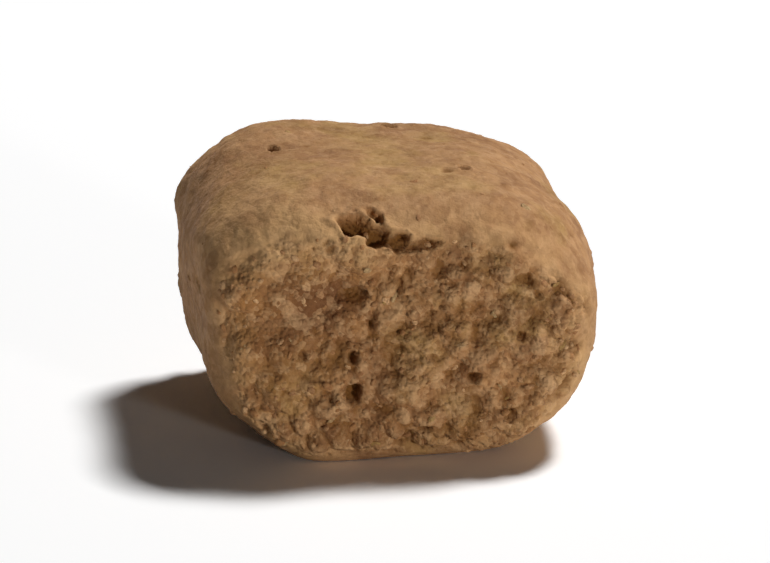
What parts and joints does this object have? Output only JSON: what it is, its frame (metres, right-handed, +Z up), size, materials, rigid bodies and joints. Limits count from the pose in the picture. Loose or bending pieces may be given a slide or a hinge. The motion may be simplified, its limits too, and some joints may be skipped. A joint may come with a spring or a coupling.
{
  "type": "pet food kibble",
  "caption": "Short puffed kibble of dry pet food: rounded, leaning section, smooth skin, porous cut ends, a torn notch on the front rim and a flat underside.",
  "frame": {"origin": "on the ground, below the middle of the kibble's box as it lies at rest on its skin", "axes": "+Z up, -Y towards the cut end that faces the camera, +X to the right across the section, which is the longest side"},
  "size_m": [0.0124, 0.0107, 0.0086],
  "materials": {
    "baked_meal": "matt, granular, warm brown baked meal, lighter on its skin than on its cut ends"
  },
  "bodies": {
    "root": {"kibble": "baked_meal"}
  },
  "joints": []
}
